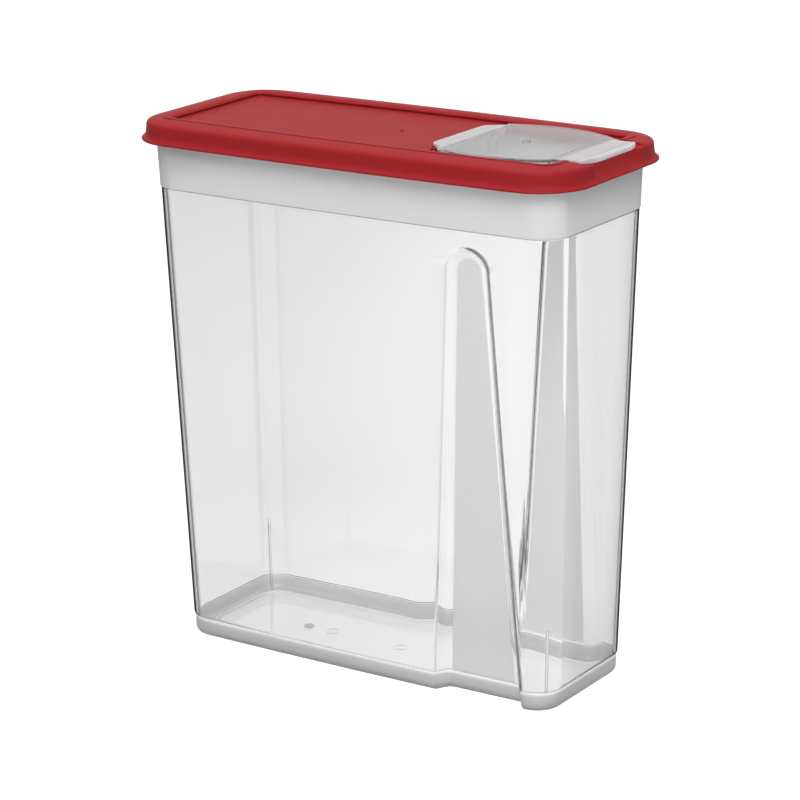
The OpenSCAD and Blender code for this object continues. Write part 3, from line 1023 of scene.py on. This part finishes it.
@dataclass
class Lid:
    """The red lid: flared skirt, crowned rim, sunk panel with the pouring opening, seal ring."""

    cap: CapSizes
    path: Path = Path(97.94 * MM, 28.44 * MM, 1.5 * MM)
    panel: Path = Path(103.04 * MM, 33.24 * MM, 1.8 * MM)
    mouth: Path = Path(93.9 * MM, 24.8 * MM, 1.1 * MM)
    panel_corner_r: float = 3.5 * MM
    wall: float = 1.8 * MM
    seal_r: float = 18.64 * MM
    seal_t: float = 1.4 * MM
    seal_out: float = 6.18 * MM
    seal_foot_z: float = 256.3 * MM
    seal_top_z: float = 264.3 * MM
    notch_x: float = 90 * MM
    notch_half_w: float = 26.45 * MM
    notch_z: float = 264.6 * MM
    notch_under_z: float = 263.3 * MM
    scoop_x: float = 118 * MM
    scoop_half_w: float = 20 * MM
    scoop_depth: float = 1.5 * MM
    scoop_edge: float = 1.4 * MM
    scoop_foot_z: float = 257.6 * MM
    scoop_fade: float = 5 * MM
    # The columns and profiles are in millimetres: distance from the path and height.
    end_columns: tuple[float, ...] = (
        0.0, 5.0, 10.0, 14.0, 16.0, 17.5, 19.0, 19.5, 20.0, 20.5, 21.0, 23.0, 25.0, 26.1, 26.4, 26.7, 27.1)
    pocket: tuple[Pair, ...] = (
        (-0.9, 264.2), (-0.35, 264.2), (-0.22, 264.28), (-0.15, 264.45), (0.0, 265.45), (0.15, 265.75),
        (0.55, 266.1), (1.2, 266.42), (2.0, 266.62), (3.2, 266.7), (4.6, 266.68))
    crown: tuple[Pair, ...] = (
        (13.0, 266.48), (17.0, 266.1), (20.0, 265.65), (21.5, 265.3), (22.3, 265.0), (22.9, 264.6),
        (23.3, 263.9), (23.48, 263.1), (23.6, 261.6), (23.75, 260.0), (23.95, 258.9), (24.3, 258.05),
        (24.9, 257.35), (25.5, 256.95), (25.85, 256.7), (26.0, 256.35), (25.95, 255.95), (25.7, 255.75),
        (25.2, 255.7))
    under: tuple[Pair, ...] = (
        (24.4, 255.75), (24.0, 256.2), (23.0, 257.6), (22.4, 258.6), (22.0, 260.0), (21.8, 262.3),
        (21.4, 263.0), (20.6, 263.3), (17.0, 264.3), (15.6, 264.4))

    def end_ys(self, scale: float) -> list[float]:
        """Columns across the right end: close at the notch's and the scoop's sides."""
        half = [y * MM * scale for y in self.end_columns]
        return [-y for y in reversed(half[1:])] + half

    def ring(self, path: Path, r: float, z: float, floor_z: float | None = None) -> list[Vector]:
        """One ring of the lid, with the notch and the finger scoop.

        Args:
            path: The path that the ring goes round.
            r: Distance from the path.
            z: Height.
            floor_z: Floor of the notch at the cap's tab, or none where there is no notch.

        Returns:
            The ring's points.
        """
        end = path.side_end(r)
        scale = path.cy / self.path.cy
        end_ys = self.end_ys(1.0 if scale > 0.99 else scale)
        points = path.ring(r, z, spans([-end, end], [12])[1:-1], end_ys)
        for point in points:
            across = abs(point.y)
            if floor_z is not None and point.x > self.notch_x and across < self.notch_half_w + 0.1 * MM:
                point.z = min(point.z, floor_z)
            if floor_z == self.notch_z and point.x > self.scoop_x:
                within = smoothstep((self.scoop_half_w + self.scoop_edge / 2 - across) / self.scoop_edge)
                up = smoothstep((z - self.scoop_foot_z) / self.scoop_fade)
                point.x -= self.scoop_depth * within * up
        return points

    def top_levels(self) -> list[tuple[Path, float, float]]:
        """Levels of the upper face, from the panel out and down to the lip."""
        levels = [(self.panel, self.panel_corner_r + r, z) for r, z in in_metres(self.pocket)]
        return levels + [(self.path, r, z) for r, z in in_metres(self.crown)]

    def under_levels(self) -> list[tuple[Path, float, float]]:
        """Levels of the underside, from the lip in to the panel.

        Returns:
            The levels, each a path, a distance from it and a height.
        """
        levels = [(self.path, r, z) for r, z in in_metres(self.under)]
        soft, foot_z = 0.4 * MM, self.seal_foot_z
        panel_z = self.cap.panel_z - self.wall
        seal = [(0.0, self.seal_top_z), (0.0, foot_z + soft), (-soft, foot_z), (soft - self.seal_t, foot_z),
                (-self.seal_t, foot_z + soft), (-self.seal_t, panel_z)]
        mouth = self.mouth.moved(self.seal_out)
        levels += [(mouth, self.seal_r - self.seal_out + r, z) for r, z in seal]
        return levels + [(self.panel, 1.5 * MM, panel_z)]

    def opening(self, z: float) -> list[Vector]:
        """Outline of the pouring opening, counterclockwise from the front's near corner."""
        cap = self.cap
        far = cap.barrel_side(cap.plug_inset - cap.gap)
        slot_w = cap.heel_half_w + cap.gap
        slot_x = cap.hinge.x - cap.sheet - cap.lift - 1.15 * MM
        far += [(far[-1][0], slot_w), (slot_x, slot_w)] + cap.heel_side(cap.gap, 0.61 * MM)
        return mirrored(far, z)

    def build(self) -> Object:
        """Builds the lid's shell.

        Returns:
            The lid's object.
        """
        top, under = self.top_levels(), self.under_levels()
        shell = RingShell(self.ring(*top[0]))
        panel_edges = list(shell.ring)
        for path, r, z in top[1:]:
            shell.extrude(self.ring(path, r, z, self.notch_z))
        for path, r, z in under:
            low = self.notch_under_z if path in (self.path, self.panel) else None
            shell.extrude(self.ring(path, r, z, low))
        rim = loop_edges(shell.mesh, self.opening(self.cap.panel_z))
        shell.fill(panel_edges + rim)
        foot = extruded(shell.mesh, rim, Vector((0, 0, -self.wall)))
        shell.fill(shell.ring + foot)
        piece = finished_object("lid_shell", shell.mesh, [RedPlastic().material()])
        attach(piece, Body.LID.value)
        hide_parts("lid")
        return piece

    def build_ears(self, material: Material) -> Object:
        """Builds the two ears that hold the cap's pins, and the gate's nub on the panel.

        Args:
            material: The lid's plastic.

        Returns:
            The ears' object.
        """
        cap = self.cap
        mesh = bmesh.new()
        for side in (1, -1):
            middle = side * (cap.heel_half_w + cap.gap + cap.ear_t / 2)
            add_barrel(mesh, (cap.hinge.x, middle, cap.hinge.z), cap.ear_r, cap.ear_t)
        rims = [e for e in mesh.edges if e.calc_face_angle(0) > 1]
        bmesh.ops.bevel(mesh, geom=rims, offset=0.35 * MM, offset_type="OFFSET", segments=2, profile=0.5,
                        affect="EDGES", material=-1)
        add_mark(mesh, (4 * MM, 0, cap.panel_z), 0.8 * MM, 0.7 * MM, 0.35 * MM)
        piece = finished_object("hinge_ears", mesh, [material])
        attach(piece, Body.LID.value)
        return piece


@dataclass
class FlipCap:
    """The clear flip cap: sheet with its heel, plug, neck and thumb tab, and two hinge pins."""

    cap: CapSizes
    plug_h: float = 8 * MM
    plug_t: float = 1.4 * MM
    pocket_half_w: float = 8 * MM
    pocket_d: float = 5 * MM
    tab_half_w: float = 24.5 * MM
    tab_l: float = 10.6 * MM
    tab_rise: float = 1.2 * MM
    tab_x1: float = 121.14 * MM
    pin_r: float = 1.2 * MM
    pin_l: float = 3 * MM
    gate_x: float = 73 * MM
    edge: float = 0.25 * MM
    tab_flat: float = 12 * MM
    tab_reach: float = 7 * MM
    ridge_l: float = 6.8 * MM
    ridge_rise_l: float = 3.8 * MM
    ridge_fall_l: float = 2.7 * MM
    ridge_end_l: float = 6 * MM

    def sheet_outline(self, z: float) -> list[Vector]:
        """Outline of the whole sheet: tab, neck, pouring part and heel.

        Args:
            z: Height.

        Returns:
            The outline's points.
        """
        cap = self.cap
        far = []
        for degrees in spans([0, 90], [10]):
            turn = math.radians(degrees)
            far.append((self.tab_x1 - self.tab_reach * (1 - math.cos(turn)),
                        self.tab_flat + (self.tab_half_w - self.tab_flat) * math.sin(turn)))
        tab_x0 = self.tab_x1 - self.tab_l
        waist = self.tab_half_w - 0.5 * MM
        far += [(tab_x0 + 2 * MM, waist), (tab_x0, waist + 0.1 * MM), (tab_x0 - 2 * MM, waist + 0.6 * MM),
                (tab_x0 - 4 * MM, cap.neck_half_w - 0.4 * MM), (cap.x1 + 1.5 * MM, cap.neck_half_w),
                (cap.x1 + 0.3 * MM, cap.neck_half_w + 0.5 * MM), (cap.x1, cap.neck_half_w + 1.5 * MM)]
        far += cap.barrel_side(0.0, 28)
        far += [(cap.x0, cap.heel_half_w), (cap.x0 - 1.2 * MM, cap.heel_half_w)] + cap.heel_side(0.0, 0.0)
        return mirrored(far, z)

    def plug_outline(self, inset: float, pocket: float, z: float) -> list[Vector]:
        """Outline of the plug.

        Args:
            inset: How far it is set in from the plug's outer face.
            pocket: How much wider the pocket in its rear wall is.
            z: Height.

        Returns:
            The outline's points.
        """
        rear = self.cap.x0 + self.cap.plug_inset + inset
        half = self.pocket_half_w + pocket
        far = self.cap.barrel_side(self.cap.plug_inset + inset, 24)
        return mirrored([*far, (rear, half), (rear + self.pocket_d, half)], z)

    def tab_rise_at(self, x: float, y: float) -> float:
        """Rise of the upper face for the tab's ridge, which falls away at its front and its ends."""
        up = smoothstep((x - self.tab_x1 + self.ridge_l) / self.ridge_rise_l)
        down = max(x - self.tab_x1 + self.ridge_fall_l, 0.0) / self.ridge_fall_l
        ends = smoothstep((self.tab_half_w + 0.6 * MM - abs(y)) / self.ridge_end_l)
        return self.tab_rise * (up - down ** 2) * ends

    def build(self, material: Material) -> Object:
        """Builds the cap's sheet with its plug and tab.

        Args:
            material: The cap's plastic.

        Returns:
            The cap's object.
        """
        cap = self.cap
        shell = RingShell(self.sheet_outline(cap.sheet_z + self.edge))
        mesh = shell.mesh
        upper = extruded(mesh, shell.ring, Vector((0, 0, cap.sheet - 2 * self.edge)))
        set_in = [self._set_in(point, self.edge) for point in self.sheet_outline(cap.sheet_z)]
        lower = loop_edges(mesh, set_in)
        top = loop_edges(mesh, [point + Vector((0, 0, cap.sheet)) for point in set_in])
        bmesh.ops.bridge_loops(mesh, edges=shell.ring + lower)
        bmesh.ops.bridge_loops(mesh, edges=upper + top)
        outer = loop_edges(mesh, self.plug_outline(0.0, 0.0, cap.sheet_z))
        inner = loop_edges(mesh, self.plug_outline(self.plug_t, self.plug_t, cap.sheet_z))
        shell.fill(top)
        shell.fill(lower + outer)
        shell.fill(inner)
        drop = Vector((0, 0, -self.plug_h))
        outer_foot = extruded(mesh, outer, drop)
        inner_foot = extruded(mesh, inner, drop)
        shell.fill(outer_foot + inner_foot)
        self._shape_tab(mesh, cap.sheet_z + cap.sheet)
        piece = finished_object("flip_cap_sheet", mesh, [material])
        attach(piece, Body.FLIP_CAP.value)
        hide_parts("flip_cap")
        return piece

    def _set_in(self, point: Vector, by: float) -> Vector:
        """Moves an outline's point towards the middle of the cap."""
        middle = Vector((self.cap.x0 + self.cap.length * 0.5, 0, point.z))
        away = point - middle
        return point - away.normalized() * by

    def _shape_tab(self, mesh: BMesh, top_z: float) -> None:
        """Cuts the sheet's upper face across the tab and raises it into the ridge.

        Args:
            mesh: The cap's geometry.
            top_z: Height of the sheet's upper face.
        """
        x0 = self.tab_x1 - self.tab_l
        cuts = [((x, 0, 0), (1, 0, 0)) for x in spans([x0, self.tab_x1], [26])[1:-1]]
        ys = spans([self.tab_half_w - self.ridge_end_l, self.tab_half_w - 0.4 * MM], [7])
        cuts += [((0, side * y, 0), (0, 1, 0)) for side in (-1, 1) for y in ys]
        for place, across in cuts:
            faces = [f for f in mesh.faces if f.calc_center_median().x > x0 - 12 * MM]
            parts = {g for f in faces for g in (*f.verts, *f.edges)}
            bmesh.ops.bisect_plane(mesh, geom=list(parts) + faces, plane_co=place, plane_no=across, dist=1e-7)
        for vert in mesh.verts:
            if vert.co.x > x0 and vert.co.z > top_z - 0.6 * MM:
                vert.co.z += self.tab_rise_at(vert.co.x, vert.co.y)

    def build_hinge(self, material: Material) -> Object:
        """Builds the cap's two ears with their pins, and the gate's ring on the sheet.

        Args:
            material: The cap's plastic.

        Returns:
            The object of the ears and pins.
        """
        cap = self.cap
        mesh = bmesh.new()
        for side in (1, -1):
            ear_y = side * (cap.heel_half_w - cap.ear_t / 2)
            pin_y = side * (cap.heel_half_w + self.pin_l / 2)
            add_barrel(mesh, (cap.hinge.x, ear_y, cap.hinge.z), cap.ear_r, cap.ear_t)
            add_barrel(mesh, (cap.hinge.x, pin_y, cap.hinge.z), self.pin_r, self.pin_l)
        gate = (self.gate_x, 0, cap.sheet_z + cap.sheet)
        add_mark(mesh, gate, 2.1 * MM, 0.7 * MM, 0.35 * MM, 1)
        add_mark(mesh, gate, 0.7 * MM, 0.6 * MM, 0.4 * MM, 1)
        # The cap's gate ring uses the clear plastic with painted shade.
        piece = finished_object("cap_pins", mesh, [material, gate_material_with_painted_shade("cap_gate_painted_shade_plastic")])
        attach(piece, Body.FLIP_CAP.value)
        return piece


# Stage


def aimed(eye: Vector, target: Vector, roll: float = 0.0) -> Matrix:
    """Gives the matrix of something at eye that looks at target.

    Args:
        eye: Its place.
        target: The point that it faces.
        roll: Its turn about its own line of sight, in radians.

    Returns:
        The matrix.
    """
    back = (eye - target).normalized()
    right = Vector((0, 0, 1)).cross(back).normalized()
    up = back.cross(right)
    turned = right * math.cos(roll) + up * math.sin(roll)
    upright = up * math.cos(roll) - right * math.sin(roll)
    return Matrix.Translation(eye) @ Matrix((turned, upright, back)).transposed().to_4x4()


@dataclass
class Studio:
    """A plain pale floor, soft lights and the camera at the photograph's angle."""

    azimuth: float = math.radians(33.6768)
    elevation: float = math.radians(16.6976)
    distance: float = 1514.0 * MM
    target: Point = (0.72 * MM, 0.0, 130.21 * MM)
    roll: float = math.radians(-0.7731)
    lens: float = 139.553
    sky: float = 0.62
    glossy_low: float = 0.65
    glossy_rise: float = 0.2
    floor_radius: float = 3.0
    floor_grey: Colour = grey(0.48, 0.48)
    glow_eye: float = 0.75
    glow_near: float = 0.32
    glow_rise: float = 0.27
    glow_glossy: float = 0.12

    def add_camera(self) -> None:
        """Adds the camera at the photograph's place."""
        az, el = self.azimuth, self.elevation
        back = Vector((math.sin(az) * math.cos(el), -math.cos(az) * math.cos(el), math.sin(el)))
        data = bpy.data.cameras.new("camera")
        data.lens = self.lens
        data.sensor_width = 36
        data.clip_start = 0.05
        data.clip_end = 30
        camera = bpy.data.objects.new("camera", data)
        target = Vector(self.target)
        camera.matrix_world = aimed(target + back * self.distance, target, self.roll)
        bpy.context.scene.collection.objects.link(camera)
        bpy.context.scene.camera = camera

    def add_light(self, name: str, place: Point, size: float, power: float) -> None:
        """Adds a soft square light that faces the object.

        Args:
            name: The light's name.
            place: Its place.
            size: Length of its side.
            power: Its power in watts.
        """
        data = bpy.data.lights.new(name, "AREA")
        data.size = size
        data.energy = power
        light = bpy.data.objects.new(name, data)
        light.matrix_world = aimed(Vector(place), Vector((0, 0, 0.15)))
        bpy.context.scene.collection.objects.link(light)

    def floor_glow(self, shader: Shader) -> Value:
        """Gives the floor's glow to the eye, to rays through clear pieces and to glossy rays.

        Args:
            shader: The floor's tree.

        Returns:
            The value.
        """
        eye, through, glossy = shader.rays("Camera", "Transmission", "Glossy")
        x, y, _ = shader.place()
        beyond = (x * 0.84 + y * 0.54).above(0.0, 0.4) * self.glow_rise + self.glow_near
        seen = (eye * self.glow_eye).math("MAXIMUM", through * beyond)
        return seen.math("MAXIMUM", glossy * self.glow_glossy)

    def add_world(self) -> None:
        """Adds a world that is white to the eye and lights the object at a plain level."""
        world = bpy.data.worlds.new("studio")
        bpy.context.scene.world = world
        world.use_nodes = True
        shader = Shader(world.node_tree)
        eye, through, glossy = shader.rays("Camera", "Transmission", "Glossy")
        seen = eye.math("MAXIMUM", through)
        height = shader.place()[2]
        mirrored_level = height.above(0.45, 0.6) * self.glossy_rise + self.glossy_low
        level = (height.above(0.35, 1.1) * 0.5 + 0.5) * self.sky
        strength = seen + (1.0 - seen) * (glossy * mirrored_level + (1.0 - glossy) * level)
        light = shader.node("ShaderNodeBackground", None, {"Color": grey(1, 1), "Strength": strength})
        shader.node("ShaderNodeOutputWorld", None, {"Surface": light.outputs[0]})

    def add_floor(self) -> None:
        """Adds the pale floor, which keeps the object's shadow."""
        mesh = bmesh.new()
        bmesh.ops.create_circle(mesh, cap_ends=True, segments=96, radius=self.floor_radius)
        material, shader = new_material("pale_floor")
        pale = shader.node("ShaderNodeBsdfDiffuse", None, {"Color": self.floor_grey}).outputs[0]
        glow = shader.node("ShaderNodeEmission", None, {"Color": self.floor_glow(shader), "Strength": 1.0})
        shader.finish(shader.node("ShaderNodeAddShader", None, {0: pale, 1: glow.outputs[0]}).outputs[0])
        floor = finished_object("floor", mesh, [material])
        floor.data.transform(Matrix.Translation((0, 0, -0.2 * MM)))

    def build(self) -> None:
        """Adds the camera, the lights, the world and the floor."""
        self.add_camera()
        self.add_light("key_light", (0.7, -1.0, 1.25), 0.8, 17)
        self.add_light("top_light", (-0.2, 0.1, 1.9), 1.2, 12)
        self.add_world()
        self.add_floor()
        scene = bpy.context.scene
        scene.view_settings.view_transform = "Standard"
        for limit in ("max_bounces", "transmission_bounces", "transparent_max_bounces"):
            setattr(scene.cycles, limit, 32)
        scene.cycles.glossy_bounces = 8


def main() -> None:
    """Builds the container, the lid and the flip cap around the frame, and the studio."""
    logging.basicConfig(level=logging.INFO, format="%(message)s")
    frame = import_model()
    hinge = next(j for j in frame["joints"] if j["name"] == "cap_flip")
    cap_sizes = CapSizes(Vector(hinge["pos_m"]))
    container = Container()
    lid = Lid(cap_sizes)
    flip_cap = FlipCap(cap_sizes)
    pieces = [container.build(), container.build_ribs(), container.build_marks(), lid.build()]
    red = pieces[-1].data.materials[0]
    pieces.append(lid.build_ears(red))
    clear = HazyPlastic().material()
    pieces += [flip_cap.build(clear), flip_cap.build_hinge(clear)]
    for piece in pieces:
        LOG.info("%s: %d faces", piece.name, len(piece.data.polygons))
    Studio().build()


if __name__ == "__main__":
    main()
